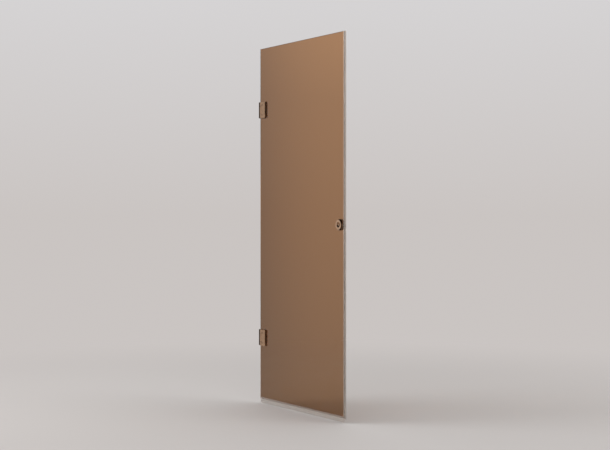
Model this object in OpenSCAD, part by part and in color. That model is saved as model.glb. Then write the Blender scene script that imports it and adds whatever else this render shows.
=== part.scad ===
// Frameless shower door of tinted safety glass, hung on a wall by two glass clamp hinges.
// All sizes are in millimetres. X runs from the wall along the closed door, Y runs through
// the glass towards the inside of the shower, and Z is up. The origin lies on the back of
// the lower wall plate, in the middle plane of the glass, at the lower hinge's mid height.

/* [Glass leaf] */
// Width of the glass from its hinge edge to its closing edge
glass_w = 860; // [500:1:1000]
// Height of the glass
glass_h = 1974; // [1400:1:2200]
// Thickness of the glass
glass_t = 8; // [8:1:10]
// Gap between the wall and the hinge edge of the glass
wall_gap = 10.5; // [10:0.5:14]
// Height of the glass above the floor
floor_gap = 26; // [20:1:30]
// Distance from each hinge's mid height to the nearer end of the glass
hinge_inset = 345; // [150:1:500]
// Width of the bevel ground along the edges of the glass
arris = 0.8; // [0.4:0.1:1.5]

/* [Wall plates] */
// Height of the wall plates and of the glass clamps
hinge_h = 90; // [84:1:120]
// Width of the wall plate, which is offset to the inner side
plate_w = 50; // [48:1:65]
// Reach of the wall plate to the outer side, from the middle plane of the glass
plate_out = 8; // [8:0.5:12]
// Thickness of the wall plate
plate_t = 4.5; // [3:0.5:5]
// Radius of the wall plate's corners
plate_corner_r = 4; // [2:0.5:5]
// Radius of the clearance holes for the wall screws
wall_hole_r = 2.75; // [2:0.25:3]
// Distance of the first row of wall screw holes from the knuckle's side face
wall_hole_in = 7; // [6.5:0.5:9]
// Distance between the two rows of wall screw holes
wall_hole_dy = 14; // [12:1:20]
// Distance between the upper and lower wall screw holes
wall_hole_dz = 64; // [50:1:70]

/* [Knuckle and pin] */
// Distance from the wall to the axis the door turns about
pivot_x = 24; // [22:0.5:30]
// Half of the hinge's thickness, which is also the radius of the knuckle's nose
body_r = 13; // [12:0.5:15]
// Height of the knuckle on the wall plate
knuckle_h = 42; // [36:1:46]
// Thickness of the arm that joins the knuckle's nose to the wall plate
arm_t = 14; // [10:0.5:16]
// Radius of the pivot pin
pin_r = 5; // [4:0.5:6]
// Running clearance between the pin and the bushings, on the radius
pin_run = 0.05; // [0.02:0.01:0.1]
// Clearance of parts that are pressed, pushed or screwed into each other, on the radius
seat_fit = 0.02; // [0.01:0.01:0.05]
// Wall thickness of the bushings
bush_wall = 1.5; // [1:0.1:2]
// Depth of each bushing in the knuckle
bush_len = 12; // [8:1:14]
// Thickness of the bushing's flange
flange_t = 1.2; // [0.8:0.1:2]
// Radius of the bushing's flange
flange_r = 9.5; // [8.5:0.5:11]
// Gap between the bushing's flange and the ear that runs on it
flange_gap = 0.3; // [0.2:0.1:0.5]
// Height of each ear that holds the pin
ear_h = 9.5; // [8:0.5:12]
// Depth of the outer clamp's metal over the ears
ear_cover = 5; // [3:0.5:6]
// Gap at the sides of the ears, where they enter the outer clamp
ear_side = 0.3; // [0.1:0.1:0.5]
// Radius of the grub screws that lock the pin in the ears
grub_r = 2.5; // [2:0.5:3]

/* [Glass clamps] */
// Width of the clamps from their rounded edge to their free edge
clamp_w = 62; // [54:1:70]
// Width of the bevel round the clamps' faces
clamp_bevel = 1.2; // [0.5:0.1:2]
// Thickness of the gasket between a clamp and the glass
gasket_t = 1; // [0.5:0.1:1.5]
// Distance from the gasket's edge to the clamp's edge
gasket_in = 1; // [0.5:0.5:3]
// Gap between the knuckle and the pocket that the clamps leave for it
pocket_gap = 1.5; // [1:0.1:3]
// Radius of the clamp screws
screw_r = 3; // [2.5:0.5:3.5]
// Distance between the two clamp screws
screw_dz = 56; // [54:1:62]
// Distance from the pivot to the clamp screws
screw_in = 21; // [19:0.5:26]
// Clearance of a screw in a plain hole, on the radius
screw_play = 0.2; // [0.1:0.1:0.5]
// Depth of the clamp screws' heads under the outer face
screw_sunk = 0.5; // [0.2:0.1:1]
// Radius of the round lobes of the cut-out that the clamp screws pass
lobe_r = 8; // [6:0.5:10]

/* [Knob] */
// Gap between the knob and the leg of the closing seal
knob_gap = 0.5; // [0.3:0.1:30]
// Radius of the knob against the glass
knob_r = 29.5; // [26:0.5:34]
// Height of the straight rim at the knob's base
knob_rim = 2; // [1:0.5:3]
// Radius of the knob's front ring
knob_front_r = 24.5; // [20:0.5:25.5]
// Thickness of the knob
knob_t = 11.5; // [8:0.5:14]
// Radius of the recess in the knob's front
recess_r = 14.5; // [9:0.5:17]
// Depth of the recess
recess_d = 5.5; // [3:0.5:6.5]
// Width of the small bevels on the knob
knob_bevel = 0.8; // [0.3:0.1:1]
// Thickness of the clear washers under the knobs
washer_t = 1; // [0.5:0.1:1.5]
// Radius of the screw that joins the two knobs
knob_screw_r = 3; // [2.5:0.5:3.5]
// Radius of that screw's head
knob_head_r = 4.5; // [4:0.5:6]
// Radius of the hole in the glass for the knob screw
knob_hole_r = 6; // [5:0.5:8]

/* [Seals] */
// Thickness of the seals' clear plastic walls
seal_wall = 1.1; // [0.8:0.1:1.5]
// Length of the closing seal's legs on the glass
seal_leg = 6; // [5:0.5:14]
// Radius of the closing seal's hollow bulb
bulb_r = 5; // [4.5:0.1:5.5]
// Reach of the bulb beyond the edge of the glass
bulb_out = 10.5; // [10:0.5:12]
// Length of the bottom seal's legs on the glass
sweep_leg = 8; // [5:1:14]
// Gap between the bottom seal's blade and the floor
sweep_gap = 3; // [2:0.5:6]
// Slant of the blade towards the outer side
sweep_slant = 2; // [0:0.5:4]
// Reach of the drip fin beyond the seal's leg, towards the inner side
drip_out = 7; // [4:0.5:8]

/* [Hidden] */
$fn = 96;
// How far a cutting shape runs past the face it cuts
eps = 1;
// Height of the upper hinge over the lower one
hinge_pitch = glass_h - 2 * hinge_inset;
glass_z0 = -hinge_inset;
glass_x0 = wall_gap;
glass_x1 = wall_gap + glass_w;
half_t = glass_t / 2;
// Distance from the glass's middle plane to the inner face of a clamp
grip_y = half_t + gasket_t;
clamp_x0 = pivot_x - body_r;
clamp_x1 = clamp_x0 + clamp_w;
pocket_x = pivot_x + body_r + pocket_gap;
// The glass is cut back a little behind the pocket and past the ears
cut_play = 1.5;
cut_x = pocket_x + cut_play;
bush_r = pin_r + pin_run + bush_wall;
ear_z0 = knuckle_h / 2 + flange_t + flange_gap;
ear_z1 = ear_z0 + ear_h;
cut_z = ear_z1 + cut_play;
ear_y = body_r - ear_cover;
pin_end = 0.5;
screw_x = pivot_x + screw_in;
screw_z = screw_dz / 2;
wall_hole_y = body_r + wall_hole_in;
knob_x = glass_x1 - seal_leg - knob_gap - knob_r;
knob_z = glass_z0 + glass_h / 2;
knob_y = half_t + washer_t;
// Distance from the glass's middle plane to the floor of a knob's recess
knob_seat = knob_y + knob_t - recess_d;
// Inner and outer half widths of the seals' channels
slot_y = half_t + seat_fit;
leg_y = slot_y + seal_wall;
bulb_x = glass_x1 + seat_fit + bulb_out - bulb_r;
sweep_z = glass_z0 - seat_fit;
blade_z = glass_z0 - floor_gap + sweep_gap;
bronze = [0.52, 0.40, 0.30];
steel = [0.75, 0.75, 0.77];
plastic = [0.15, 0.13, 0.12];
clear = [0.85, 0.87, 0.87, 0.5];
tint = [0.62, 0.50, 0.40, 0.5];

// A slab of the hinge's plan shape: straight at the glass and rounded about the pivot
module round_block(y0, y1, z0, z1, x1) {
  intersection() {
    union() {
      translate([pivot_x, 0, z0])
        cylinder(r = body_r, h = z1 - z0);
      translate([pivot_x, -body_r, z0])
        cube([x1 - pivot_x, 2 * body_r, z1 - z0]);
    }
    translate([clamp_x0 - eps, y0, z0 - eps])
      cube([x1 - clamp_x0 + 2 * eps, y1 - y0, z1 - z0 + 2 * eps]);
  }
}

// The space of a clamp with its outer edges bevelled, for the clamp on the inner side
module bevel_space() {
  intersection() {
    translate([clamp_x0 - eps, 0, 0])
      rotate([90, 0, 90])
        linear_extrude(clamp_w + 2 * eps)
          polygon([
            [-body_r, -hinge_h / 2],
            [body_r - clamp_bevel, -hinge_h / 2],
            [body_r, clamp_bevel - hinge_h / 2],
            [body_r, hinge_h / 2 - clamp_bevel],
            [body_r - clamp_bevel, hinge_h / 2],
            [-body_r, hinge_h / 2]
          ]);
    translate([0, 0, -hinge_h / 2 - eps])
      linear_extrude(hinge_h + 2 * eps)
        polygon([
          [clamp_x0 - eps, -body_r],
          [clamp_x1, -body_r],
          [clamp_x1, body_r - clamp_bevel],
          [clamp_x1 - clamp_bevel, body_r],
          [clamp_x0 - eps, body_r]
        ]);
  }
}

// The clamp plate on the inner side, with the pocket for the knuckle
module clamp_plate() {
  difference() {
    intersection() {
      round_block(grip_y, body_r, -hinge_h / 2, hinge_h / 2, clamp_x1);
      bevel_space();
    }
    translate([0, 0, -ear_z0])
      cube([pocket_x, body_r + eps, 2 * ear_z0]);
  }
}

// Places its children at both clamp screws, with Z pointing from the outer face inwards
module at_clamp_screws(y) {
  for (z = [-screw_z, screw_z])
    translate([screw_x, y, z])
      rotate([-90, 0, 0])
        children();
}

// A countersunk screw hole along X through the wall plate
module wall_hole(y, z) {
  translate([0, y, z])
    rotate([0, 90, 0]) {
      translate([0, 0, -eps])
        cylinder(r = wall_hole_r, h = plate_t + 2 * eps);
      translate([0, 0, plate_t - wall_hole_r])
        cylinder(r1 = wall_hole_r, r2 = 2 * wall_hole_r, h = wall_hole_r);
    }
}

// Outline of the wall plate, across and up, with its two inner corners rounded
module plate_outline() {
  translate([-plate_out, -hinge_h / 2])
    square([plate_w - plate_corner_r, hinge_h]);
  translate([-plate_out, plate_corner_r - hinge_h / 2])
    square([plate_w, hinge_h - 2 * plate_corner_r]);
  for (z = [-1, 1])
    translate([plate_w - plate_out - plate_corner_r, z * (hinge_h / 2 - plate_corner_r)])
      circle(r = plate_corner_r);
}

// The wall plate with its knuckle, in one piece of brass
module wall_plate() {
  color(bronze)
    difference() {
      union() {
        rotate([90, 0, 90])
          linear_extrude(plate_t)
            plate_outline();
        translate([plate_t / 2, -arm_t / 2, -knuckle_h / 2])
          cube([pivot_x - plate_t / 2, arm_t, knuckle_h]);
        translate([pivot_x, 0, -knuckle_h / 2])
          cylinder(r = body_r, h = knuckle_h);
      }
      translate([pivot_x, 0, -knuckle_h / 2 - eps])
        cylinder(r = bush_r + seat_fit, h = knuckle_h + 2 * eps);
      for (z = [-wall_hole_dz / 2, wall_hole_dz / 2]) {
        wall_hole(wall_hole_y, z);
        wall_hole(wall_hole_y + wall_hole_dy, z);
      }
    }
}

// One flanged bushing, with its flange on the knuckle's upper face
module bushing() {
  rotate_extrude()
    polygon([
      [pin_r + pin_run, -bush_len],
      [bush_r, -bush_len],
      [bush_r, 0],
      [flange_r, 0],
      [flange_r, flange_t],
      [pin_r + pin_run, flange_t]
    ]);
}

module bushings() {
  color(plastic) {
    translate([pivot_x, 0, knuckle_h / 2])
      bushing();
    translate([pivot_x, 0, -knuckle_h / 2])
      mirror([0, 0, 1])
        bushing();
  }
}

// The pin stops a little short of the ears' far faces and has bevelled ends
module pivot_pin() {
  half = ear_z1 - pin_end;
  color(steel)
    translate([pivot_x, 0, 0])
      rotate_extrude()
        polygon([
          [0, -half],
          [pin_r - pin_end, -half],
          [pin_r, pin_end - half],
          [pin_r, half - pin_end],
          [pin_r - pin_end, half],
          [0, half]
        ]);
}

// Places its children on the pin in the middle of each ear, with Z pointing inwards
module at_grub_screws() {
  for (z = [-1, 1])
    translate([pivot_x, 0, z * (ear_z0 + ear_h / 2)])
      rotate([-90, 0, 0])
        children();
}

module grub_screws() {
  length = body_r - pin_r - 1;
  color(steel)
    at_grub_screws()
      translate([0, 0, pin_r + seat_fit])
        difference() {
          cylinder(r = grub_r, h = length);
          translate([0, 0, length / 2])
            cylinder(r = grub_r / 2, h = length, $fn = 6);
        }
}

// The clamp on the inner side: a plate with the two ears that carry the pin
module inner_clamp() {
  color(bronze)
    difference() {
      union() {
        clamp_plate();
        round_block(-ear_y, body_r, ear_z0, ear_z1, pocket_x);
        round_block(-ear_y, body_r, -ear_z1, -ear_z0, pocket_x);
      }
      translate([pivot_x, 0, -ear_z1 - eps])
        cylinder(r = pin_r + seat_fit, h = 2 * ear_z1 + 2 * eps);
      at_grub_screws()
        cylinder(r = grub_r + seat_fit, h = body_r + eps);
      at_clamp_screws(0)
        cylinder(r = screw_r + seat_fit, h = body_r - 2);
    }
}

// The clamp on the outer side: a plain plate with seats for the ears behind it
module outer_clamp() {
  head_r = 2 * screw_r + screw_play;
  color(bronze)
    difference() {
      mirror([0, 1, 0])
        clamp_plate();
      for (z = [ear_z0 - eps, -ear_z1 - ear_side])
        translate([0, -ear_y, z])
          cube([pocket_x + ear_side, body_r, ear_h + ear_side + eps]);
      at_clamp_screws(-body_r) {
        translate([0, 0, -eps])
          cylinder(r = head_r, h = eps + screw_sunk);
        translate([0, 0, screw_sunk])
          cylinder(r1 = head_r, r2 = screw_r + screw_play, h = screw_r);
        cylinder(r = screw_r + screw_play, h = body_r);
      }
    }
}

// Shape of the cut-out in the glass at a hinge, grown by the distance g
module cut_out(g) {
  translate([-eps, -body_r, -cut_z - g])
    cube([cut_x + g + eps, 2 * body_r, 2 * (cut_z + g)]);
  at_clamp_screws(-body_r)
    cylinder(r = lobe_r + g, h = 2 * body_r);
}

module gaskets() {
  half = hinge_h / 2 - gasket_in;
  color(plastic)
    for (y = [-grip_y, half_t])
      difference() {
        round_block(y, y + gasket_t, -half, half, clamp_x1 - gasket_in);
        cut_out(gasket_in / 2);
      }
}

module clamp_screws() {
  color(bronze)
    at_clamp_screws(-body_r)
      difference() {
        union() {
          translate([0, 0, screw_sunk])
            cylinder(r1 = 2 * screw_r, r2 = screw_r, h = screw_r);
          translate([0, 0, screw_sunk + screw_r / 2])
            cylinder(r = screw_r, h = 2 * body_r - 5);
        }
        // Hexagon socket
        cylinder(r = 0.65 * screw_r, h = screw_sunk + 0.8 * screw_r, $fn = 6);
      }
}

// Outline of a rectangle from one corner to the other with its corners bevelled
function bevelled(x0, y0, x1, y1, c) = [
  [x0 + c, y0], [x1 - c, y0], [x1, y0 + c], [x1, y1 - c],
  [x1 - c, y1], [x0 + c, y1], [x0, y1 - c], [x0, y0 + c]
];

module glass_leaf() {
  color(tint)
    difference() {
      intersection() {
        translate([0, 0, glass_z0])
          linear_extrude(glass_h)
            polygon(bevelled(glass_x0, -half_t, glass_x1, half_t, arris));
        translate([glass_x0, 0, 0])
          rotate([90, 0, 90])
            linear_extrude(glass_w)
              polygon(bevelled(-half_t, glass_z0, half_t, glass_z0 + glass_h, arris));
      }
      cut_out(0);
      translate([0, 0, hinge_pitch])
        cut_out(0);
      translate([knob_x, -body_r, knob_z])
        rotate([-90, 0, 0])
          cylinder(r = knob_hole_r, h = 2 * body_r);
    }
}

// Channel on the closing edge of the glass with a hollow bulb beyond it
module closing_seal() {
  color(clear)
    translate([0, 0, glass_z0])
      linear_extrude(glass_h)
        difference() {
          union() {
            translate([glass_x1 - seal_leg, -leg_y])
              square([seal_leg + seat_fit + seal_wall, 2 * leg_y]);
            translate([bulb_x, 0])
              circle(r = bulb_r);
          }
          translate([glass_x1 - seal_leg - eps, -slot_y])
            square([seal_leg + seat_fit + eps, 2 * slot_y]);
          translate([bulb_x, 0])
            circle(r = bulb_r - seal_wall);
        }
}

// The part of the bottom seal under the glass: web, slanted blade and drip fin
module sweep_outline() {
  translate([-leg_y, sweep_z - seal_wall])
    square([2 * leg_y, seal_wall]);
  polygon([
    [-seal_wall, sweep_z - seal_wall / 2],
    [-seal_wall - sweep_slant, blade_z],
    [-sweep_slant, blade_z],
    [0, sweep_z - seal_wall / 2]
  ]);
  polygon([
    [leg_y - seal_wall, sweep_z - seal_wall / 2],
    [leg_y + drip_out - seal_wall, sweep_z - drip_out - seal_wall],
    [leg_y + drip_out, sweep_z - drip_out],
    [leg_y, sweep_z]
  ]);
}

// Channel on the bottom edge of the glass, whose legs stop at the closing seal
module bottom_seal() {
  start = glass_x0 + seat_fit;
  color(clear)
    union() {
      translate([start, 0, 0])
        rotate([90, 0, 90])
          linear_extrude(glass_x1 - start)
            sweep_outline();
      for (y = [-leg_y, slot_y])
        translate([start, y, sweep_z - seal_wall])
          cube([glass_x1 - seal_leg - ear_side - start, seal_wall, sweep_leg + seal_wall]);
    }
}

// Turned knob: a bevel from the wide base to the narrow front ring, with a round recess
module knob_body(bore) {
  rotate_extrude()
    polygon([
      [bore, 0],
      [knob_r - knob_bevel, 0],
      [knob_r, knob_bevel],
      [knob_r, knob_rim],
      [knob_front_r + knob_bevel / 2, knob_t - knob_bevel],
      [knob_front_r - knob_bevel, knob_t],
      [recess_r + knob_bevel, knob_t],
      [recess_r, knob_t - knob_bevel],
      [recess_r, knob_t - recess_d],
      [bore, knob_t - recess_d]
    ]);
}

module outer_knob() {
  color(bronze)
    translate([knob_x, -knob_y, knob_z])
      rotate([90, 0, 0])
        knob_body(knob_screw_r + screw_play);
}

module inner_knob() {
  color(bronze)
    translate([knob_x, knob_y, knob_z])
      rotate([-90, 0, 0])
        knob_body(knob_screw_r + seat_fit);
}

module knob_washers() {
  color(clear)
    for (y = [-knob_y, half_t])
      translate([knob_x, y, knob_z])
        rotate([-90, 0, 0])
          difference() {
            cylinder(r = knob_r - 2, h = washer_t);
            translate([0, 0, -eps])
              cylinder(r = knob_hole_r, h = washer_t + 2 * eps);
          }
}

module knob_sleeve() {
  color(clear)
    translate([knob_x, -half_t, knob_z])
      rotate([-90, 0, 0])
        difference() {
          cylinder(r = knob_hole_r - screw_play / 2, h = glass_t);
          translate([0, 0, -eps])
            cylinder(r = knob_screw_r + screw_play / 2, h = glass_t + 2 * eps);
        }
}

// Cap screw from the outer knob's recess into the inner knob
module knob_screw() {
  head = recess_d - 1;
  socket_r = 0.5 * knob_head_r;
  color(steel)
    translate([knob_x, -knob_seat, knob_z])
      rotate([-90, 0, 0])
        difference() {
          rotate_extrude()
            polygon([
              [0, -head],
              [knob_head_r - pin_end, -head],
              [knob_head_r, pin_end - head],
              [knob_head_r, 0],
              [knob_screw_r, 0],
              [knob_screw_r, 2 * knob_seat],
              [0, 2 * knob_seat]
            ]);
          // Hexagon socket
          translate([0, 0, -head - eps])
            cylinder(r = socket_r, h = eps + 0.6 * head, $fn = 6);
        }
}

wall_plate();  // lower_wall_plate
translate([0, 0, hinge_pitch]) wall_plate();  // upper_wall_plate
bushings();  // lower_bushings
translate([0, 0, hinge_pitch]) bushings();  // upper_bushings
pivot_pin();  // lower_pivot_pin
translate([0, 0, hinge_pitch]) pivot_pin();  // upper_pivot_pin
grub_screws();  // lower_grub_screws
translate([0, 0, hinge_pitch]) grub_screws();  // upper_grub_screws
inner_clamp();  // lower_inner_clamp
translate([0, 0, hinge_pitch]) inner_clamp();  // upper_inner_clamp
outer_clamp();  // lower_outer_clamp
translate([0, 0, hinge_pitch]) outer_clamp();  // upper_outer_clamp
gaskets();  // lower_gaskets
translate([0, 0, hinge_pitch]) gaskets();  // upper_gaskets
clamp_screws();  // lower_clamp_screws
translate([0, 0, hinge_pitch]) clamp_screws();  // upper_clamp_screws
glass_leaf();
closing_seal();
bottom_seal();
outer_knob();
inner_knob();
knob_washers();
knob_sleeve();
knob_screw();
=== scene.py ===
"""Frameless shower door of bronze-tinted glass, dressed and lit for a studio picture.

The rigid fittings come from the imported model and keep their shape. This script gives
every piece its finish, makes the turned knobs and the soft clear seals as fine
surfaces, and sets up the camera, the floor and the lamps. Lengths are in metres. X runs
from the wall along the closed door, Y towards the inside of the shower, and Z is up.
"""

import math

import bmesh
import bpy
import numpy as np
from bpy.props import FloatProperty, FloatVectorProperty, PointerProperty
from mathutils.geometry import tessellate_polygon
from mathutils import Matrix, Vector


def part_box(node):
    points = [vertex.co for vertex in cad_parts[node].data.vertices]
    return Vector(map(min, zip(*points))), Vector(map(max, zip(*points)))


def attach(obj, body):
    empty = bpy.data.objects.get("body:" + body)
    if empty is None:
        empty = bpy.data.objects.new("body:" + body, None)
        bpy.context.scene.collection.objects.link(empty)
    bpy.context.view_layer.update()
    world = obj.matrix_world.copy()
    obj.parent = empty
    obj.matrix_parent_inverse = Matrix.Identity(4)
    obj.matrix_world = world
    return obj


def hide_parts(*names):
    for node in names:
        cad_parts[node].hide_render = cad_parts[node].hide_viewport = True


bl_info = {
    "name": "Frameless Glass Shower Door",
    "version": (1, 0, 0),
    "blender": (4, 5, 0),
    "location": "3D View > Sidebar > Shower Door",
    "description": "Finishes, seals, knobs and studio of a frameless glass shower door",
    "category": "Object",
}

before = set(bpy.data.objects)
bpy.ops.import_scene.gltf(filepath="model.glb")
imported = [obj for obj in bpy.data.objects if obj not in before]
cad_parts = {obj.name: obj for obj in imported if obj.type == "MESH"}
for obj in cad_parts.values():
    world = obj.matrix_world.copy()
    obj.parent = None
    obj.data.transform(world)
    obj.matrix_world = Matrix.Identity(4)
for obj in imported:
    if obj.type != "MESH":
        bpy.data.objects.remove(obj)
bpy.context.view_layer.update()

MM = 0.001
GLASS_LOW, GLASS_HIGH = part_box("glass_leaf")
CLOSER_LOW, CLOSER_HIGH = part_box("closing_seal")
SWEEP_LOW, SWEEP_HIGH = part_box("bottom_seal")
KNOB_LOW, KNOB_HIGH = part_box("outer_knob")
KNOB_CENTRE = ((KNOB_LOW.x + KNOB_HIGH.x) / 2, 0.0, (KNOB_LOW.z + KNOB_HIGH.z) / 2)
GLASS_THICK = GLASS_HIGH.y - GLASS_LOW.y
# Clearance between the glass and the pieces pushed onto it
SEAT = 0.02 * MM
# Wall thickness of both seals
SKIN = 1.1 * MM
# The bottom seal's legs stop this far from the closing seal
LEG_PLAY = 0.3 * MM
# The bottom seal's blade ends this far above the floor
SWEEP_GAP = 3.0 * MM
FLOOR_Z = SWEEP_LOW.z - SWEEP_GAP
# The hinges carry painted shade beside the wall, in place of the shade between the wall
# plate and the clamp, full up to the first of these distances from the wall and gone
# past the second
WALL_SHADE_TO, WALL_SHADE_GONE_FROM = 13.0 * MM, 17.0 * MM
# Points of a new mesh that lie nearer than this are merged
MERGE = 1e-6
# Edges of a new mesh that turn by more than this stay sharp
SHARP = math.radians(32)
# The shade behind the glass runs between these rises of the view, per metre ahead, and
# once more between those near the top, and sideways between these slopes
SHADE_RISES = (-0.157, 0.14)
SHADE_TOP_RISES = (0.09, 0.135)
SHADE_SLOPES = (-0.0344, 0.0302)
# The least light that each of the shade's two falls leaves, and the part near the top
SHADE_LEAST, SHADE_TOP_LEAST = 0.64, 0.86
# The fall to the side comes in between these shares of straight ahead. Elsewhere the
# shade leaves an even share.
SHADE_AHEAD = (0.6, 0.9)
SHADE_EVEN = 0.9
# Colour and strength of the world's light on the object
DAYLIGHT_COLOUR, DAYLIGHT = (1.0, 0.985, 0.97, 1.0), 0.81
# Power of the fill lamp as a share of the main lamp's
FILL_SHARE = 0.35
# The floor reaches this far each way, and fades into the background between two
# distances from the door's middle
FLOOR_REACH = 60.0
FLOOR_FADE = (1.0, 4.0)
DOOR_MIDDLE = 0.4
# Distance of the dark cards from the wall
CARD_X = 3.0
# Plain colours: tarnish in the plating, the bushings and the gaskets, the dark that the
# metal mirrors from high above, and the dark cards
TARNISH = (0.02, 0.012, 0.008, 1.0)
NYLON = (0.035, 0.032, 0.03)
FIBRE = (0.045, 0.04, 0.036)
DARK_ABOVE = (0.02, 0.018, 0.016, 1.0)
CARD_BLACK = (0.01, 0.008, 0.006, 1.0)


class DoorMetalSettings(bpy.types.PropertyGroup):
    """Finish of the hinges and knobs"""

    bronze: FloatVectorProperty(
        name="Hinge bronze",
        description="Colour of the satin plating on the hinges",
        subtype="COLOR",
        default=(0.54, 0.345, 0.215),
        min=0.0,
        max=1.0,
    )
    # Painted shade: this dark colour beside the wall stands in for the shade between
    # the wall plate and the clamp, not a darker plating
    painted_wall_shade: FloatVectorProperty(
        name="Wall side bronze",
        description="Colour of the darkened plating of the hinges beside the wall",
        subtype="COLOR",
        default=(0.085, 0.05, 0.03),
        min=0.0,
        max=1.0,
    )
    screws: FloatVectorProperty(
        name="Screw bronze",
        description="Colour of the plating on the clamp screws",
        subtype="COLOR",
        default=(0.36, 0.22, 0.135),
        min=0.0,
        max=1.0,
    )
    ring: FloatVectorProperty(
        name="Knob ring",
        description="Colour of the polished front ring of the knobs",
        subtype="COLOR",
        default=(0.74, 0.50, 0.335),
        min=0.0,
        max=1.0,
    )
    # Painted shade: the flank's darker colour stands in for the shade on the knobs'
    # sloping side
    flank: FloatVectorProperty(
        name="Knob flank",
        description="Colour of the darker sloping side of the knobs",
        subtype="COLOR",
        default=(0.075, 0.04, 0.022),
        min=0.0,
        max=1.0,
    )
    # The recess's darker colour is partly patina in the hollow and partly painted shade
    recess: FloatVectorProperty(
        name="Knob recess",
        description="Colour of the darkened recess in the knobs",
        subtype="COLOR",
        default=(0.24, 0.13, 0.07),
        min=0.0,
        max=1.0,
    )
    steel: FloatVectorProperty(
        name="Steel",
        description="Colour of the pins and grub screws",
        subtype="COLOR",
        default=(0.62, 0.61, 0.60),
        min=0.0,
        max=1.0,
    )
    gloss: FloatProperty(
        name="Roughness",
        description="Roughness of the satin plating",
        default=0.25,
        min=0.1,
        max=0.8,
    )


class DoorGlassSettings(bpy.types.PropertyGroup):
    """Tint of the glass and of the clear seals"""

    tint: FloatVectorProperty(
        name="Tint",
        description="Share of each colour that a straight pass through the pane keeps",
        subtype="COLOR",
        default=(0.62, 0.36, 0.175),
        min=0.01,
        max=0.99,
    )
    seal: FloatVectorProperty(
        name="Seal",
        description="Colour of the clear plastic seals",
        subtype="COLOR",
        default=(0.99, 0.93, 0.875),
        min=0.0,
        max=1.0,
    )
    seal_haze: FloatProperty(
        name="Seal haze",
        description="Roughness of the soft plastic",
        default=0.14,
        min=0.07,
        max=1.0,
    )


class DoorShapeSettings(bpy.types.PropertyGroup):
    """Sizes of the turned knobs and the drawn seals"""

    rim: FloatProperty(
        name="Knob rim",
        description="Height of the knobs' straight rim beside the glass",
        subtype="DISTANCE",
        unit="LENGTH",
        default=2.0 * MM,
        min=1.0 * MM,
        max=5.0 * MM,
    )
    flank: FloatProperty(
        name="Knob flank",
        description="How far the knobs' sloping flank reaches in from the rim",
        subtype="DISTANCE",
        unit="LENGTH",
        default=5.0 * MM,
        min=2.0 * MM,
        max=10.0 * MM,
    )
    face: FloatProperty(
        name="Knob face",
        description="Distance of the knobs' recess from the rim",
        subtype="DISTANCE",
        unit="LENGTH",
        default=15.0 * MM,
        min=12.0 * MM,
        max=20.0 * MM,
    )
    depth: FloatProperty(
        name="Recess depth",
        description="Depth of the knobs' recess",
        subtype="DISTANCE",
        unit="LENGTH",
        default=5.5 * MM,
        min=4.0 * MM,
        max=8.0 * MM,
    )
    bore: FloatProperty(
        name="Knob bore",
        description="Radius of the bore for the screw that joins the knobs",
        subtype="DISTANCE",
        unit="LENGTH",
        default=3.3 * MM,
        min=3.1 * MM,
        max=4.0 * MM,
    )
    bulb: FloatProperty(
        name="Bulb",
        description="Outer radius of the hollow bulb on the closing seal",
        subtype="DISTANCE",
        unit="LENGTH",
        default=5.0 * MM,
        min=4.0 * MM,
        max=5.1 * MM,
    )
    bow: FloatProperty(
        name="Bulb bow",
        description="Size of each of the two waves in which the bulb bows inwards",
        subtype="DISTANCE",
        unit="LENGTH",
        default=0.12 * MM,
        min=0.0,
        max=0.5 * MM,
    )
    wave: FloatProperty(
        name="Blade wave",
        description="Size of the longer wave along the edge of the bottom seal's blade",
        subtype="DISTANCE",
        unit="LENGTH",
        default=0.18 * MM,
        min=0.0,
        max=1.0 * MM,
    )


class DoorStageSettings(bpy.types.PropertyGroup):
    """Camera, floor and lamps"""

    heading: FloatProperty(
        name="Heading",
        description="Turn of the camera from a straight view of the door, from above",
        subtype="ANGLE",
        default=math.radians(58.36),
    )
    tilt: FloatProperty(
        name="Tilt",
        description="How far the camera looks down",
        subtype="ANGLE",
        default=math.radians(0.435),
    )
    eye: FloatVectorProperty(
        name="Eye",
        description="Camera's place: along the door, through it and above the floor",
        subtype="TRANSLATION",
        unit="LENGTH",
        default=(6.376, -3.630, 1.062),
    )
    lens: FloatProperty(
        name="Lens",
        description="Focal length in millimetres on a 36 mm wide sensor",
        default=76.34,
        min=10.0,
        max=300.0,
    )
    floor: FloatVectorProperty(
        name="Floor",
        description="Colour of the floor near the door",
        subtype="COLOR",
        default=(0.56, 0.535, 0.525),
        min=0.0,
        max=1.0,
    )
    horizon: FloatVectorProperty(
        name="Horizon",
        description="Colour of the background at eye level, and of the floor far away",
        subtype="COLOR",
        default=(0.59, 0.555, 0.54),
        min=0.0,
        max=1.0,
    )
    ceiling: FloatVectorProperty(
        name="Upper background",
        description="Colour of the background above the door",
        subtype="COLOR",
        default=(0.665, 0.65, 0.655),
        min=0.0,
        max=1.0,
    )
    lamp: FloatProperty(
        name="Lamp",
        description="Power of the main soft lamp",
        subtype="POWER",
        unit="POWER",
        default=75.0,
        min=0.0,
        max=2000.0,
    )


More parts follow.
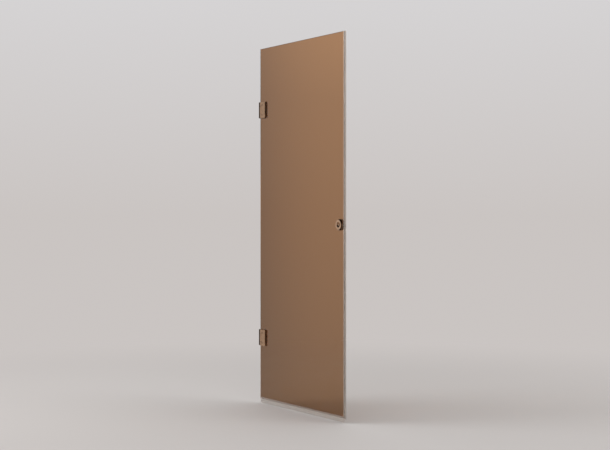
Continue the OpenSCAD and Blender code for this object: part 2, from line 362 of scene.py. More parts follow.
def rounded(corners, radii, closed=False, steps=6):
    """Outline through the corners, each one rounded by an arc of its own radius.

    The arc at a corner runs between the two points of its sides that lie at distance
    radius * tan(half the turn) from it, where a circle of that radius touches both
    sides. Its points turn evenly from one to the other. A corner of radius 0 stays
    sharp, and so do the ends of an open outline.
    """
    corners = np.asarray(corners, float)
    count = len(corners)
    made = []
    for k, (corner, radius) in enumerate(zip(corners, radii)):
        if radius <= 0 or (not closed and k in (0, count - 1)):
            made.append(corner[None])
            continue
        before, after = corners[k - 1] - corner, corners[(k + 1) % count] - corner
        before, after = before / np.hypot(*before), after / np.hypot(*after)
        turn = math.pi - math.acos(float(np.clip(before @ after, -1, 1)))
        reach = radius * math.tan(turn / 2)
        middle = before + after
        centre = corner + middle / np.hypot(*middle) * math.hypot(radius, reach)
        start, end = corner + before * reach - centre, corner + after * reach - centre
        share = np.linspace(0, 1, steps)[:, None] * turn
        arc = (np.sin(turn - share) * start + np.sin(share) * end) / math.sin(turn)
        made.append(centre + arc)
    return np.concatenate(made)


def grid_faces(rows, columns, close_rows, close_columns, first=0):
    """Quads of a grid of points that are numbered row by row from first.

    Quad (i, j) joins points (i, j), (i, j+1), (i+1, j+1) and (i+1, j). The last row or
    column joins the first one again where that way round is closed.
    """
    i, j = np.meshgrid(
        np.arange(rows if close_rows else rows - 1),
        np.arange(columns if close_columns else columns - 1),
        indexing="ij",
    )
    i2, j2 = (i + 1) % rows, (j + 1) % columns
    quads = np.stack(
        [i * columns + j, i * columns + j2, i2 * columns + j2, i2 * columns + j], -1
    )
    return (quads.reshape(-1, 4) + first).tolist()


def turned(profile, segments=180):
    """Surface of revolution about its own Z: point (s, a) is (r cos a, r sin a, h).

    The profile holds r and h at each step s. It is a closed outline, so the surface is
    a ring with no open end.
    """
    angle = np.linspace(0, 2 * np.pi, segments, endpoint=False)
    radius, height = profile[:, :1], profile[:, 1:]
    points = np.stack(
        [radius * np.cos(angle), radius * np.sin(angle), height + 0 * angle], -1
    )
    return points, grid_faces(len(profile), segments, True, True)


def drawn_out(rings, section):
    """Bar with a section of one or two closed outlines, drawn along a path.

    rings holds an array of points per outline: point (s, k) is outline point k moved to
    step s of the path. section holds the same outlines lying flat, from which the
    filling of the two ends is worked out. A second outline is a hole.
    """
    points, faces, starts, ends, first = [], [], [], [], 0
    for ring in rings:
        steps, count = ring.shape[:2]
        faces += grid_faces(steps, count, False, True, first)
        starts.append(np.arange(count) + first)
        ends.append(starts[-1] + count * (steps - 1))
        points.append(ring.reshape(-1, 3))
        first += steps * count
    fill = tessellate_polygon([[(*p, 0.0) for p in outline] for outline in section])
    for rim in (np.concatenate(starts), np.concatenate(ends)):
        faces += rim[np.array(fill)].tolist()
    return np.concatenate(points), faces


def add_mesh(name, points, faces, body=None, replaces=()):
    """Makes one object at the origin from points and faces, with its faces outwards."""
    mesh = bpy.data.meshes.new(name)
    mesh.from_pydata(np.reshape(points, (-1, 3)).tolist(), [], faces)
    shell = bmesh.new()
    shell.from_mesh(mesh)
    bmesh.ops.remove_doubles(shell, verts=shell.verts, dist=MERGE)
    bmesh.ops.dissolve_degenerate(shell, edges=shell.edges, dist=MERGE)
    bmesh.ops.recalc_face_normals(shell, faces=shell.faces)
    shell.to_mesh(mesh)
    shell.free()
    mesh.shade_smooth()
    mesh.set_sharp_from_angle(angle=SHARP)
    obj = bpy.data.objects.new(name, mesh)
    bpy.context.scene.collection.objects.link(obj)
    if body:
        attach(obj, body)
        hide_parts(*replaces)
    return obj


def dress(material, *names):
    """Gives CAD nodes or new pieces one finish."""
    for name in names:
        mesh = bpy.data.objects[name].data
        mesh.materials.clear()
        mesh.materials.append(material)


def rgba(colour):
    """A colour with full alpha."""
    return (*colour[:3], 1.0)


def new_material(name):
    """A node material with only its output, its node tree and that output."""
    material = bpy.data.materials.new(name)
    material.use_nodes = True
    tree = material.node_tree
    tree.nodes.clear()
    return material, tree, tree.nodes.new("ShaderNodeOutputMaterial")


def add_shader(tree, output, **values):
    """The material's Principled BSDF, with plain values on its own sockets."""
    shader = tree.nodes.new("ShaderNodeBsdfPrincipled")
    for socket, value in values.items():
        shader.inputs[socket.replace("_", " ")].default_value = value
    tree.links.new(shader.outputs["BSDF"], output.inputs["Surface"])
    return shader


def feed(tree, socket, value):
    """Links a socket to another one, or writes a plain value on it."""
    if isinstance(value, bpy.types.NodeSocket):
        tree.links.new(value, socket)
    else:
        socket.default_value = value


def maths(tree, operation, first, second=0.0):
    """Output of one Math node."""
    node = tree.nodes.new("ShaderNodeMath")
    node.operation = operation
    feed(tree, node.inputs[0], first)
    feed(tree, node.inputs[1], second)
    return node.outputs[0]


def vectors(tree, operation, first, second=(0.0, 0.0, 0.0), output="Vector"):
    """One of the outputs of one Vector Math node."""
    node = tree.nodes.new("ShaderNodeVectorMath")
    node.operation = operation
    feed(tree, node.inputs[0], first)
    feed(tree, node.inputs[1], second)
    return node.outputs[output]


def split(tree, vector):
    """The three parts of a vector."""
    node = tree.nodes.new("ShaderNodeSeparateXYZ")
    tree.links.new(vector, node.inputs["Vector"])
    return node.outputs


def ranged(tree, value, low, high, start=0.0, end=1.0, smooth=False):
    """A value held to the range start to end and mapped onto the range low to high."""
    node = tree.nodes.new("ShaderNodeMapRange")
    node.interpolation_type = "SMOOTHSTEP" if smooth else "LINEAR"
    for name, number in (
        ("Value", value),
        ("From Min", start),
        ("From Max", end),
        ("To Min", low),
        ("To Max", high),
    ):
        feed(tree, node.inputs[name], number)
    return node.outputs["Result"]


def mixed(tree, factor, first, second):
    """A colour mixed from two others."""
    node = tree.nodes.new("ShaderNodeMix")
    node.data_type = "RGBA"
    feed(tree, node.inputs["Factor"], factor)
    feed(tree, node.inputs["A"], first)
    feed(tree, node.inputs["B"], second)
    return node.outputs["Result"]


def noise(tree, vector, scale, detail=3.0):
    """Value of a noise texture."""
    node = tree.nodes.new("ShaderNodeTexNoise")
    node.inputs["Detail"].default_value = detail
    feed(tree, node.inputs["Vector"], vector)
    feed(tree, node.inputs["Scale"], scale)
    return node.outputs["Fac"]


def bumped(tree, height, strength, distance):
    """Normal of a bump map."""
    node = tree.nodes.new("ShaderNodeBump")
    node.inputs["Distance"].default_value = distance
    feed(tree, node.inputs["Strength"], strength)
    tree.links.new(height, node.inputs["Height"])
    return node.outputs["Normal"]


def object_vector(tree, centre=(0.0, 0.0, 0.0)):
    """Object coordinates counted from a centre."""
    place = tree.nodes.new("ShaderNodeTexCoord")
    return vectors(tree, "SUBTRACT", place.outputs["Object"], tuple(centre))


def new_group(name, inputs, outputs):
    """An empty shader node group with named sockets, and what goes in and out of it."""
    tree = bpy.data.node_groups.new(name, "ShaderNodeTree")
    for title, kind, default in inputs:
        socket = tree.interface.new_socket(
            title, in_out="INPUT", socket_type=f"NodeSocket{kind}"
        )
        socket.default_value = default
    for title, kind in outputs:
        tree.interface.new_socket(
            title, in_out="OUTPUT", socket_type=f"NodeSocket{kind}"
        )
    source = tree.nodes.new("NodeGroupInput")
    sink = tree.nodes.new("NodeGroupOutput")
    return tree, source.outputs, sink.inputs


def placed(tree, name, **values):
    """Outputs of a shader node group placed in a material with values of its own."""
    node = tree.nodes.new("ShaderNodeGroup")
    node.node_tree = bpy.data.node_groups[name]
    for socket, value in values.items():
        feed(tree, node.inputs[socket.replace("_", " ")], value)
    return node.outputs


def make_brushed_group():
    """Brushed grain: noise drawn out along one axis, as a mask and a bump normal."""
    tree, given, result = new_group(
        "Brushed grain",
        [
            ("Vector", "Vector", (0.0, 0.0, 0.0)),
            ("Grain", "Vector", (5200.0, 5200.0, 120.0)),
            ("Depth", "Float", 0.06),
        ],
        [("Mask", "Float"), ("Normal", "Vector")],
    )
    stretched = vectors(tree, "MULTIPLY", given["Vector"], given["Grain"])
    lines = noise(tree, stretched, 1.0)
    tree.links.new(lines, result["Mask"])
    tree.links.new(bumped(tree, lines, given["Depth"], 0.0002), result["Normal"])


def make_patina_group():
    """Patina: slow patches in which a colour darkens by a given share."""
    tree, given, result = new_group(
        "Patina",
        [
            ("Vector", "Vector", (0.0, 0.0, 0.0)),
            ("Color", "Color", (0.5, 0.5, 0.5, 1.0)),
            ("Darkening", "Float", 0.3),
            ("Patches", "Float", 35.0),
        ],
        [("Color", "Color")],
    )
    patches = noise(tree, given["Vector"], given["Patches"], 5.0)
    amount = ranged(tree, patches, 0.0, given["Darkening"], 0.35, 0.72)
    darker = mixed(tree, amount, given["Color"], TARNISH)
    tree.links.new(darker, result["Color"])


def make_edge_wear_group():
    """Edge wear: 1 along the edges of a box of a given half size, 0 away from them.

    The gaps from a point to the box's three pairs of faces are the half size minus the
    point's distances from the middle. On a face one gap is 0, and the middle one of the
    three is small only near an edge.
    """
    tree, given, result = new_group(
        "Edge wear",
        [
            ("Vector", "Vector", (0.0, 0.0, 0.0)),
            ("Half size", "Vector", (0.01, 0.01, 0.01)),
            ("Width", "Float", 0.001),
        ],
        [("Mask", "Float")],
    )
    away = vectors(tree, "ABSOLUTE", given["Vector"])
    x, y, z = split(tree, vectors(tree, "SUBTRACT", given["Half size"], away))
    less, more = maths(tree, "MINIMUM", x, y), maths(tree, "MAXIMUM", x, y)
    middle = maths(tree, "MAXIMUM", less, maths(tree, "MINIMUM", more, z))
    ragged = ranged(tree, noise(tree, given["Vector"], 900.0), 0.4, 1.6)
    middle = maths(tree, "MULTIPLY", middle, ragged)
    tree.links.new(
        ranged(tree, middle, 1.0, 0.0, 0.0, given["Width"], smooth=True), result["Mask"]
    )


def make_shade_group(heading):
    """Shade of what is seen through the glass: darker low down and towards the hinges.

    The given vector points from the eye to a place. Its steps along and across the view
    give the place's rise and its slope to the side. The shade falls by the square of
    the distance below the top and from the closing side, and once more near the top.
    """
    tree, given, result = new_group(
        "Shade behind glass",
        [("Vector", "Vector", (0.0, 1.0, 0.0))],
        [("Shade", "Float")],
    )
    ahead = (-math.sin(heading), math.cos(heading), 0.0)
    aside = (math.cos(heading), math.sin(heading), 0.0)
    level = vectors(tree, "NORMALIZE", given["Vector"])
    along = vectors(tree, "DOT_PRODUCT", level, ahead, "Value")
    across = vectors(tree, "DOT_PRODUCT", level, aside, "Value")
    depth = maths(tree, "MAXIMUM", along, 0.05)
    rise = maths(tree, "DIVIDE", split(tree, level)["Z"], depth)
    slope = maths(tree, "DIVIDE", across, depth)
    fall = ranged(tree, rise, 1.0, 0.0, *SHADE_RISES)
    low = ranged(tree, maths(tree, "MULTIPLY", fall, fall), 1.0, SHADE_LEAST)
    top = ranged(tree, rise, SHADE_TOP_LEAST, 1.0, *SHADE_TOP_RISES)
    low = maths(tree, "MULTIPLY", low, top)
    short = ranged(tree, slope, 1.0, 0.0, *SHADE_SLOPES)
    side = ranged(tree, maths(tree, "MULTIPLY", short, short), 1.0, SHADE_LEAST)
    ahead_share = ranged(tree, along, 0.0, 1.0, *SHADE_AHEAD)
    side = ranged(tree, ahead_share, SHADE_EVEN, side)
    tree.links.new(maths(tree, "MULTIPLY", low, side), result["Shade"])


def satin_metal(name, node, metal):
    """Satin bronze of one hinge piece: patina, brushed grain and edges rubbed bright.

    Where X is small, beside the wall, the colour is painted shade in place of the shade
    between the wall plate and the clamp; further out it is the light plating.
    """
    low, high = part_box(node)
    roughness = metal.gloss
    material, tree, output = new_material(name)
    vector = object_vector(tree, (low + high) / 2)
    shader = add_shader(tree, output, Metallic=1.0)
    from_wall = split(tree, object_vector(tree))["X"]
    # Painted shade: the colour is dark near the wall in place of the shade between the
    # wall plate and the clamp
    light = ranged(tree, from_wall, 0.0, 1.0, WALL_SHADE_TO, WALL_SHADE_GONE_FROM, smooth=True)
    colour = mixed(tree, light, rgba(metal.painted_wall_shade), rgba(metal.bronze))
    patina = placed(tree, "Patina", Vector=vector, Color=colour)
    grain = placed(tree, "Brushed grain", Vector=vector)
    wear = placed(
        tree, "Edge wear", Vector=vector, Half_size=(high - low) / 2, Width=1.4 * MM
    )
    bright = vectors(tree, "SCALE", patina["Color"])
    feed(tree, bright.node.inputs["Scale"], 1.35)
    tree.links.new(
        mixed(tree, wear["Mask"], patina["Color"], bright), shader.inputs["Base Color"]
    )
    rough = ranged(tree, grain["Mask"], roughness - 0.06, roughness + 0.1)
    rough = maths(tree, "SUBTRACT", rough, maths(tree, "MULTIPLY", wear["Mask"], 0.06))
    tree.links.new(rough, shader.inputs["Roughness"])
    tree.links.new(grain["Normal"], shader.inputs["Normal"])
    return material


def turned_metal(name, colour):
    """Turned pins and screws: a bright metal with fine tool marks."""
    material, tree, output = new_material(name)
    vector = object_vector(tree)
    shader = add_shader(tree, output, Metallic=1.0)
    patina = placed(tree, "Patina", Vector=vector, Color=rgba(colour), Darkening=0.15)
    grain = placed(
        tree, "Brushed grain", Vector=vector, Grain=(900.0, 3000.0, 6000.0), Depth=0.08
    )
    tree.links.new(patina["Color"], shader.inputs["Base Color"])
    tree.links.new(ranged(tree, grain["Mask"], 0.18, 0.36), shader.inputs["Roughness"])
    tree.links.new(grain["Normal"], shader.inputs["Normal"])
    return material


def turned_bronze(metal, outer, front, recess):
    """Bronze of the knobs: bright ring and rim, a flank darkened as painted shade, a
    recess darkened partly by patina and partly as painted shade, tool marks.

    The colour and the marks are functions of the distance from the knob's axis, and the
    three radii are those of the rim, the front ring and the recess. Inside the recess
    the colour darkens towards the bottom as painted shade and lightens towards the top
    as painted light. The ring's edges are lighter, partly as wear and partly as painted
    highlights.
    """
    material, tree, output = new_material("turned_bronze")
    vector = object_vector(tree, KNOB_CENTRE)
    shader = add_shader(tree, output, Metallic=1.0)
    flat = vectors(tree, "MULTIPLY", vector, (1.0, 0.0, 1.0))
    radius = vectors(tree, "LENGTH", flat, output="Value")
    # Lighter colour for the ring's edges: partly wear, partly painted highlights
    wear_and_highlight = [min(1.0, c * 1.2) for c in metal.ring]
    ramp = tree.nodes.new("ShaderNodeValToRGB")
    ramp.color_ramp.elements[0].color = rgba(metal.recess)
    ramp.color_ramp.elements[1].color = rgba(metal.bronze)
    # In this ramp the flank's dark colour is painted shade, and the recess's dark
    # colour is partly patina and partly painted shade
    for place, colour in (
        (recess - 0.5 * MM, metal.recess),
        (recess + 0.4 * MM, wear_and_highlight),
        (recess + 1.4 * MM, metal.ring),
        (front - 1.2 * MM, metal.ring),
        (front - 0.2 * MM, wear_and_highlight),
        (front + 0.7 * MM, metal.flank),
        (outer - 0.8 * MM, metal.flank),
    ):
        ramp.color_ramp.elements.new(place / outer).color = rgba(colour)
    tree.links.new(maths(tree, "DIVIDE", radius, outer), ramp.inputs["Fac"])
    # Painted shade and light in the recess: darker towards the bottom, lighter towards
    # the top
    painted_recess_shading = ranged(tree, split(tree, vector)["Z"], 0.15, 1.5, -2 * MM, 5 * MM)
    inside = ranged(tree, radius, 1.0, 0.0, recess - 0.6 * MM, recess - 0.1 * MM)
    colour = vectors(tree, "SCALE", ramp.outputs["Color"])
    feed(tree, colour.node.inputs["Scale"], ranged(tree, inside, 1.0, painted_recess_shading))
    patina = placed(tree, "Patina", Vector=vector, Color=colour, Patches=60.0)
    tree.links.new(patina["Color"], shader.inputs["Base Color"])
    marks = tree.nodes.new("ShaderNodeTexNoise")
    marks.noise_dimensions = "1D"
    marks.inputs["Scale"].default_value = 5200.0
    tree.links.new(radius, marks.inputs["W"])
    normal = bumped(tree, marks.outputs["Fac"], 0.10, 0.0001)
    tree.links.new(normal, shader.inputs["Normal"])
    rough = ranged(tree, marks.outputs["Fac"], metal.gloss - 0.08, metal.gloss + 0.05)
    tree.links.new(rough, shader.inputs["Roughness"])
    return material


def tinted_glass(tint):
    """Polished glass, clear at its faces and coloured through its thickness.

    Over a distance, exp(-density * (1 - colour) * distance) of the light is kept. The
    density and colour are set so that a straight pass through the pane keeps the tint's
    share.
    """
    material, tree, output = new_material("bronze_tinted_glass")
    shader = add_shader(
        tree, output, Base_Color=(1.0, 1.0, 1.0, 1.0), Transmission_Weight=1.0, IOR=1.5
    )
    wiped = noise(tree, object_vector(tree), 9.0, 6.0)
    tree.links.new(ranged(tree, wiped, 0.0, 0.02), shader.inputs["Roughness"])
    loss = [-math.log(t) / GLASS_THICK for t in tint]
    density = max(loss)
    inside = tree.nodes.new("ShaderNodeVolumeAbsorption")
    inside.inputs["Color"].default_value = rgba([1 - k / density for k in loss])
    inside.inputs["Density"].default_value = density
    tree.links.new(inside.outputs["Volume"], output.inputs["Volume"])
    return material


def clear_plastic(colour, haze):
    """Soft clear plastic with a little haze and faint flow marks."""
    material, tree, output = new_material("clear_plastic")
    shader = add_shader(tree, output, Transmission_Weight=0.85, IOR=1.42)
    flow = noise(tree, object_vector(tree), 55.0, 4.0)
    tree.links.new(
        mixed(tree, flow, rgba([c * 0.95 for c in colour]), rgba(colour)),
        shader.inputs["Base Color"],
    )
    rough = ranged(tree, flow, haze - 0.06, haze + 0.06)
    tree.links.new(rough, shader.inputs["Roughness"])
    return material


def pebbled(name, colour, roughness, scale):
    """Moulded nylon or pressed fibre: a fine pebbled skin on a dark colour."""
    material, tree, output = new_material(name)
    shader = add_shader(tree, output)
    skin = noise(tree, object_vector(tree), scale)
    dark, light = ([c * share for c in colour] for share in (0.75, 1.2))
    tree.links.new(
        mixed(tree, skin, rgba(dark), rgba(light)), shader.inputs["Base Color"]
    )
    rough = ranged(tree, skin, roughness - 0.1, roughness + 0.1)
    tree.links.new(rough, shader.inputs["Roughness"])
    tree.links.new(bumped(tree, skin, 0.2, 0.0003), shader.inputs["Normal"])
    return material


class DOOR_OT_camera(bpy.types.Operator):
    """Place the camera at the viewing angle"""

    bl_idname = "shower_door.camera"
    bl_label = "Camera"

    def execute(self, context):
        stage = context.scene.door_stage
        data = bpy.data.cameras.new("camera")
        data.sensor_width = 36.0
        data.lens = stage.lens
        data.clip_end = 200.0
        camera = bpy.data.objects.new("camera", data)
        context.scene.collection.objects.link(camera)
        x, y, height = stage.eye
        camera.location = (x, y, FLOOR_Z + height)
        camera.rotation_euler = (math.pi / 2 - stage.tilt, 0.0, stage.heading)
        context.scene.camera = camera
        return {"FINISHED"}


class DOOR_OT_glass(bpy.types.Operator):
    """Finish the tinted glass leaf"""

    bl_idname = "shower_door.glass"
    bl_label = "Glass"

    def execute(self, context):
        dress(tinted_glass(context.scene.door_glass.tint), "glass_leaf")
        return {"FINISHED"}


class DOOR_OT_hinges(bpy.types.Operator):
    """Finish the wall plates, clamps, screws, pins, bushings and gaskets"""

    bl_idname = "shower_door.hinges"
    bl_label = "Hinges"

    def execute(self, context):
        metal = context.scene.door_metal
        steel = turned_metal("turned_steel", metal.steel)
        screws = turned_metal("screw_bronze", metal.screws)
        nylon = pebbled("dark_nylon", NYLON, 0.45, 900.0)
        fibre = pebbled("gasket_fibre", FIBRE, 0.8, 2600.0)
        for level in ("lower", "upper"):
            for piece in ("wall_plate", "inner_clamp", "outer_clamp"):
                node = f"{level}_{piece}"
                dress(satin_metal(f"bronze_{node}", node, metal), node)
            dress(screws, f"{level}_clamp_screws")
            dress(steel, f"{level}_pivot_pin", f"{level}_grub_screws")
            dress(nylon, f"{level}_bushings")
            dress(fibre, f"{level}_gaskets")
        dress(turned_metal("knob_screw_bronze", metal.ring), "knob_screw")
        return {"FINISHED"}


class DOOR_OT_knobs(bpy.types.Operator):
    """Turn the two knobs, with a sloping flank, a front ring and a dished recess"""

    bl_idname = "shower_door.knobs"
    bl_label = "Knobs"

    def execute(self, context):
        shape = context.scene.door_shape
        outer = (KNOB_HIGH.x - KNOB_LOW.x) / 2
        thick = KNOB_HIGH.y - KNOB_LOW.y
        front, recess = outer - shape.flank, outer - shape.face
        floor = thick - shape.depth
        dish_edge, dish_flat = floor + 2.6 * MM, 5.6 * MM
        corners = [
            (shape.bore, 0.0, 0.0),
            (outer, 0.0, 0.4),
            (outer, shape.rim, 0.6),
            (front, thick, 0.7),
            (recess, thick, 0.6),
            (recess, dish_edge, 1.0),
            (dish_flat, floor, 1.5),
            (shape.bore, floor, 0.0),
        ]
        profile = rounded([c[:2] for c in corners], [c[2] * MM for c in corners])
        points, faces = turned(profile)
        finish = turned_bronze(context.scene.door_metal, outer, front, recess)
        for node, side in (("outer_knob", -1.0), ("inner_knob", 1.0)):
            x = KNOB_CENTRE[0] + points[..., 0]
            y = side * (points[..., 2] - KNOB_HIGH.y)
            z = KNOB_CENTRE[2] + points[..., 1]
            name, where = f"{node}_turned", np.stack([x, y, z], -1)
            add_mesh(name, where, faces, "leaf", [node])
            dress(finish, name)
        return {"FINISHED"}


class DOOR_OT_seals(bpy.types.Operator):
    """Draw the two clear seals and finish the knobs' washers and sleeve"""

    bl_idname = "shower_door.seals"
    bl_label = "Seals"

    def execute(self, context):
        glass, shape = context.scene.door_glass, context.scene.door_shape
        self.add_closing_seal(shape)
        self.add_bottom_seal(shape)
        dress(
            clear_plastic(glass.seal, glass.seal_haze),
            "closing_seal_drawn",
            "bottom_seal_drawn",
            "knob_washers",
            "knob_sleeve",
        )
        return {"FINISHED"}

    def add_closing_seal(self, shape):
        """Channel with a hollow bulb, drawn up the closing edge of the glass.

        The section is two legs and a web with a round bulb on it, less a round hole.
        Along the height the bulb bows inwards by a fraction of a millimetre, as a sum
        of two sines of the height, and most at the bulb's crown.
        """
        leg, slot = CLOSER_HIGH.y, GLASS_HIGH.y + SEAT
        web, back = GLASS_HIGH.x + SEAT, GLASS_HIGH.x + SEAT + SKIN
        tip, bulb = CLOSER_LOW.x, shape.bulb
        centre = CLOSER_HIGH.x - bulb
        half = math.pi - math.acos((centre - back) / bulb)
        sweep = np.linspace(-half, half, 64)
        arc = np.stack([centre + bulb * np.cos(sweep), bulb * np.sin(sweep)], -1)
        corners = [
            [(web, slot), (web, -slot), (tip, -slot), (tip, -leg), (back, -leg)],
            arc,
            [(back, leg), (tip, leg), (tip, slot)],
        ]
        radii = [0.2, 0.2, 0.4, 0.5, 0.6] + [0] * len(arc) + [0.6, 0.5, 0.4]
        outline = rounded(np.concatenate(corners), [r * MM for r in radii], closed=True)
        turn = np.linspace(0, 2 * np.pi, 48, endpoint=False)
        bore = bulb - SKIN
        hole = np.stack([centre + bore * np.cos(turn), bore * np.sin(turn)], -1)
        z = np.linspace(CLOSER_LOW.z, CLOSER_HIGH.z, 160)[:, None]
        bow = shape.bow * (np.sin(z * 9.0) + np.sin(z * 23.0 + 1.0) - 2.0)
        rings = []
        for line in (outline, hole):
            x, y = line.T
            crown = np.clip((x - back) / (2 * bulb), 0, 1)
            rings.append(np.stack([x + bow * crown, y + 0 * z, 0 * x + z], -1))
        points, faces = drawn_out(rings, [outline, hole])
        name, node = "closing_seal_drawn", "closing_seal"
        add_mesh(name, points, faces, "leaf", [node])

    def add_bottom_seal(self, shape):
        """Channel under the glass with a hanging blade and a drip fin, drawn along X.

        Its two legs stop short of the closing seal: past that point no point of the
        section is higher than the web. The blade's lower edge waves to the sides by a
        fraction of a millimetre, as a sum of two sines of X, and most at its tip.
        """
        leg, slot = CLOSER_HIGH.y, GLASS_HIGH.y + SEAT
        web, foot, top = GLASS_LOW.z - SEAT, SWEEP_LOW.z, SWEEP_HIGH.z
        under = web - SKIN
        slant, drip = 2.0 * MM, SWEEP_HIGH.y - leg
        corners = [
            (-SKIN - slant, foot, 0.3),
            (-slant, foot, 0.3),
            (0.0, under, 0.5),
            (leg - 0.6 * MM, under, 0.5),
            (leg + drip - SKIN, web - drip - SKIN, 0.3),
            (leg + drip, web - drip, 0.3),
            (leg, web, 0.4),
            (leg, top, 0.45),
            (slot, top, 0.2),
            (slot, web, 0.2),
            (-slot, web, 0.2),
            (-slot, top, 0.2),
            (-leg, top, 0.45),
            (-leg, under, 0.5),
            (-SKIN, under, 0.5),
        ]
        outline = rounded(
            [c[:2] for c in corners], [c[2] * MM for c in corners], closed=True
        )
        end, steps = CLOSER_LOW.x - LEG_PLAY, 240
        x = np.concatenate(
            [np.linspace(SWEEP_LOW.x, end, steps), np.linspace(end, SWEEP_HIGH.x, 3)]
        )[:, None]
        y, z = outline.T
        legs = np.arange(len(x))[:, None] < steps
        height = np.where(legs, z, np.minimum(z, web))
        blade = y < 0.5 * MM
        hang = np.clip((under - z) / (under - foot), 0, 1) ** 2 * blade
        wave = shape.wave * (np.sin(x * 31.0) + 0.6 * np.sin(x * 83.0 + 2.0))
        ring = np.stack([x + 0 * y, y + wave * hang, height], -1)
        points, faces = drawn_out([ring], [outline])
        name, node = "bottom_seal_drawn", "bottom_seal"
        add_mesh(name, points, faces, "leaf", [node])


class DOOR_OT_stage(bpy.types.Operator):
    """Lay the floor and set up the lamps and the background"""

    bl_idname = "shower_door.stage"
    bl_label = "Stage"

    def execute(self, context):
        stage = context.scene.door_stage
        self.add_floor(stage)
        self.add_background(context.scene, stage)
        self.add_lamps(stage)
        self.add_cards()
        return {"FINISHED"}

    def mirrored(self, tree, path, surfaces):
        """1 for a ray that came off metal and then crossed this many glass surfaces."""
        glossy = maths(tree, "GREATER_THAN", path["Glossy Depth"], 0.5)
        crossed = maths(tree, "COMPARE", path["Transmission Depth"], surfaces)
        return maths(tree, "MULTIPLY", glossy, crossed)

    def add_floor(self, stage):
        """A wide floor that fades into the background's colour far from the door."""
        count = 9
        reach = np.linspace(-FLOOR_REACH, FLOOR_REACH, count)
        x, y = np.meshgrid(reach, reach, indexing="ij")
        points = np.stack([x, y, np.full_like(x, FLOOR_Z)], -1)
        floor = add_mesh("floor", points, grid_faces(count, count, False, False))
        if floor.data.polygons[0].normal.z < 0:
            floor.data.flip_normals()
        material, tree, output = new_material("pale_floor")
        path = tree.nodes.new("ShaderNodeLightPath").outputs
        eye = (stage.eye[0], stage.eye[1], FLOOR_Z + stage.eye[2])
        shade = placed(tree, "Shade behind glass", Vector=object_vector(tree, eye))
        shade = ranged(tree, path["Is Transmission Ray"], 1.0, shade["Shade"])
        shader = add_shader(tree, output, Roughness=0.7, Specular_IOR_Level=0.25)
        near = vectors(tree, "SCALE", tuple(stage.floor))
        feed(tree, near.node.inputs["Scale"], shade)
        tree.links.new(near, shader.inputs["Base Color"])
        glow = tree.nodes.new("ShaderNodeEmission")
        glow.inputs["Color"].default_value = rgba(stage.horizon)
        tree.links.new(shade, glow.inputs["Strength"])
        centre = (DOOR_MIDDLE, 0.0, FLOOR_Z)
        away = vectors(tree, "LENGTH", object_vector(tree, centre), output="Value")
        faded = ranged(tree, away, 0.0, 1.0, *FLOOR_FADE, smooth=True)
        mix = tree.nodes.new("ShaderNodeMixShader")
        tree.links.new(faded, mix.inputs["Fac"])
        tree.links.new(shader.outputs["BSDF"], mix.inputs[1])
        tree.links.new(glow.outputs["Emission"], mix.inputs[2])
        tree.links.new(mix.outputs["Shader"], output.inputs["Surface"])
        floor.data.materials.append(material)

    def add_background(self, scene, stage):
        """World: plain light for the object, and a pale gradient where it is seen.

        Mirrored in the metal, the part well above the door is darker, which gives the
        turned and bevelled faces their contrast.
        """
        world = bpy.data.worlds.new("studio")
        scene.world = world
        world.use_nodes = True
        tree = world.node_tree
        tree.nodes.clear()
        output = tree.nodes.new("ShaderNodeOutputWorld")
        light, seen = (tree.nodes.new("ShaderNodeBackground") for _ in range(2))
        light.inputs["Color"].default_value = DAYLIGHT_COLOUR
        light.inputs["Strength"].default_value = DAYLIGHT
        vector = tree.nodes.new("ShaderNodeTexCoord").outputs["Generated"]
        height = split(tree, vector)["Z"]
        path = tree.nodes.new("ShaderNodeLightPath").outputs
        rise = ranged(tree, height, 0.0, 1.0, 0.0, 0.16)
        colour = mixed(tree, rise, rgba(stage.horizon), rgba(stage.ceiling))
        high = ranged(tree, height, 0.0, 0.9, 0.2, 0.6, smooth=True)
        dark = maths(tree, "MULTIPLY", self.mirrored(tree, path, 0.0), high)
        colour = mixed(tree, dark, colour, DARK_ABOVE)
        tree.links.new(colour, seen.inputs["Color"])
        shade = placed(tree, "Shade behind glass", Vector=vector)["Shade"]
        shade = ranged(tree, path["Is Transmission Ray"], 1.0, shade)
        tree.links.new(shade, seen.inputs["Strength"])
        shown = path["Is Camera Ray"]
        for kind in ("Is Glossy Ray", "Is Transmission Ray"):
            shown = maths(tree, "MAXIMUM", shown, path[kind])
        choose = tree.nodes.new("ShaderNodeMixShader")
        tree.links.new(shown, choose.inputs["Fac"])
        tree.links.new(light.outputs[0], choose.inputs[1])
        tree.links.new(seen.outputs[0], choose.inputs[2])
        tree.links.new(choose.outputs[0], output.inputs["Surface"])

    def add_lamps(self, stage):
        """A large soft lamp high on the outer side and a weaker one opposite."""
        for name, place, aim_height, size, power in (
            ("main_lamp", (-1.2, -3.2, 3.0), 0.7, 2.4, stage.lamp),
            ("fill_lamp", (3.4, 2.6, 2.4), 0.6, 2.0, stage.lamp * FILL_SHARE),
        ):
            data = bpy.data.lights.new(name, "AREA")
            data.shape = "SQUARE"
            data.size = size
            data.energy = power
            lamp = bpy.data.objects.new(name, data)
            bpy.context.scene.collection.objects.link(lamp)
            lamp.location = place
            back = np.subtract(place, (DOOR_MIDDLE, 0.0, aim_height))
            lamp.rotation_euler = (
                math.atan2(math.hypot(back[0], back[1]), back[2]),
                0.0,
                math.atan2(back[0], -back[1]),
            )
            lamp.visible_glossy = name != "main_lamp"

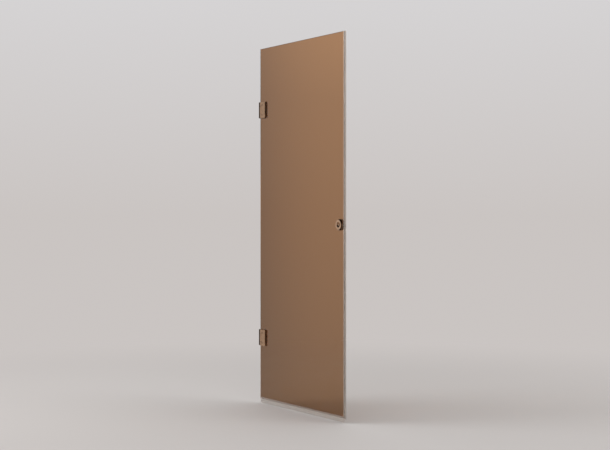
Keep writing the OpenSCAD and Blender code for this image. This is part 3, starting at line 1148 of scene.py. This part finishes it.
    def add_cards(self):
        """Two dark cards beside the door, which the clamps' end faces mirror.

        Each row holds a card's two ends along Y and its lowest and highest point above
        the floor. They show only to rays that come off metal and pass through the pane.
        """
        cards = np.array([(0.4, 4.0, 0.0, 0.6), (0.4, 4.0, 1.4, 3.2)])
        y, z = cards[:, [0, 1, 1, 0]], cards[:, [2, 2, 3, 3]] + FLOOR_Z
        points = np.stack([np.full_like(y, CARD_X), y, z], -1)
        card = add_mesh("dark_cards", points, np.arange(y.size).reshape(-1, 4).tolist())
        material, tree, output = new_material("dark_card")
        path = tree.nodes.new("ShaderNodeLightPath").outputs
        clear = tree.nodes.new("ShaderNodeBsdfTransparent")
        dark = tree.nodes.new("ShaderNodeBsdfDiffuse")
        dark.inputs["Color"].default_value = CARD_BLACK
        mix = tree.nodes.new("ShaderNodeMixShader")
        tree.links.new(self.mirrored(tree, path, 2.0), mix.inputs["Fac"])
        tree.links.new(clear.outputs[0], mix.inputs[1])
        tree.links.new(dark.outputs[0], mix.inputs[2])
        tree.links.new(mix.outputs["Shader"], output.inputs["Surface"])
        card.data.materials.append(material)
        card.visible_camera = False
        card.visible_diffuse = False
        card.visible_volume_scatter = False
        card.visible_shadow = False


class DOOR_PT_panel(bpy.types.Panel):
    """Sidebar panel with the door's settings and steps"""

    bl_idname = "DOOR_PT_panel"
    bl_label = "Shower Door"
    bl_space_type = "VIEW_3D"
    bl_region_type = "UI"
    bl_category = "Shower Door"

    def draw(self, context):
        for part in ("metal", "glass", "shape", "stage"):
            group = getattr(context.scene, f"door_{part}")
            box = self.layout.box()
            for name in group.__annotations__:
                box.prop(group, name)
        for operator in OPERATORS:
            self.layout.operator(operator.bl_idname)


GROUPS = (
    DoorMetalSettings,
    DoorGlassSettings,
    DoorShapeSettings,
    DoorStageSettings,
)
OPERATORS = (
    DOOR_OT_camera,
    DOOR_OT_glass,
    DOOR_OT_hinges,
    DOOR_OT_knobs,
    DOOR_OT_seals,
    DOOR_OT_stage,
)


def register():
    """Registers the classes and puts the settings on the scene."""
    for cls in (*GROUPS, *OPERATORS, DOOR_PT_panel):
        bpy.utils.register_class(cls)
    bpy.types.Scene.door_metal = PointerProperty(type=DoorMetalSettings)
    bpy.types.Scene.door_glass = PointerProperty(type=DoorGlassSettings)
    bpy.types.Scene.door_shape = PointerProperty(type=DoorShapeSettings)
    bpy.types.Scene.door_stage = PointerProperty(type=DoorStageSettings)


def unregister():
    """Takes the settings and the classes away again."""
    del bpy.types.Scene.door_metal
    del bpy.types.Scene.door_glass
    del bpy.types.Scene.door_shape
    del bpy.types.Scene.door_stage
    for cls in reversed((*GROUPS, *OPERATORS, DOOR_PT_panel)):
        bpy.utils.unregister_class(cls)


def main():
    """Runs every step in order."""
    register()
    scene = bpy.context.scene
    scene.view_settings.view_transform = "Standard"
    make_brushed_group()
    make_patina_group()
    make_edge_wear_group()
    make_shade_group(scene.door_stage.heading)
    bpy.ops.shower_door.camera()
    bpy.ops.shower_door.glass()
    bpy.ops.shower_door.hinges()
    bpy.ops.shower_door.knobs()
    bpy.ops.shower_door.seals()
    bpy.ops.shower_door.stage()
    bpy.context.view_layer.update()


if __name__ == "__main__":
    main()
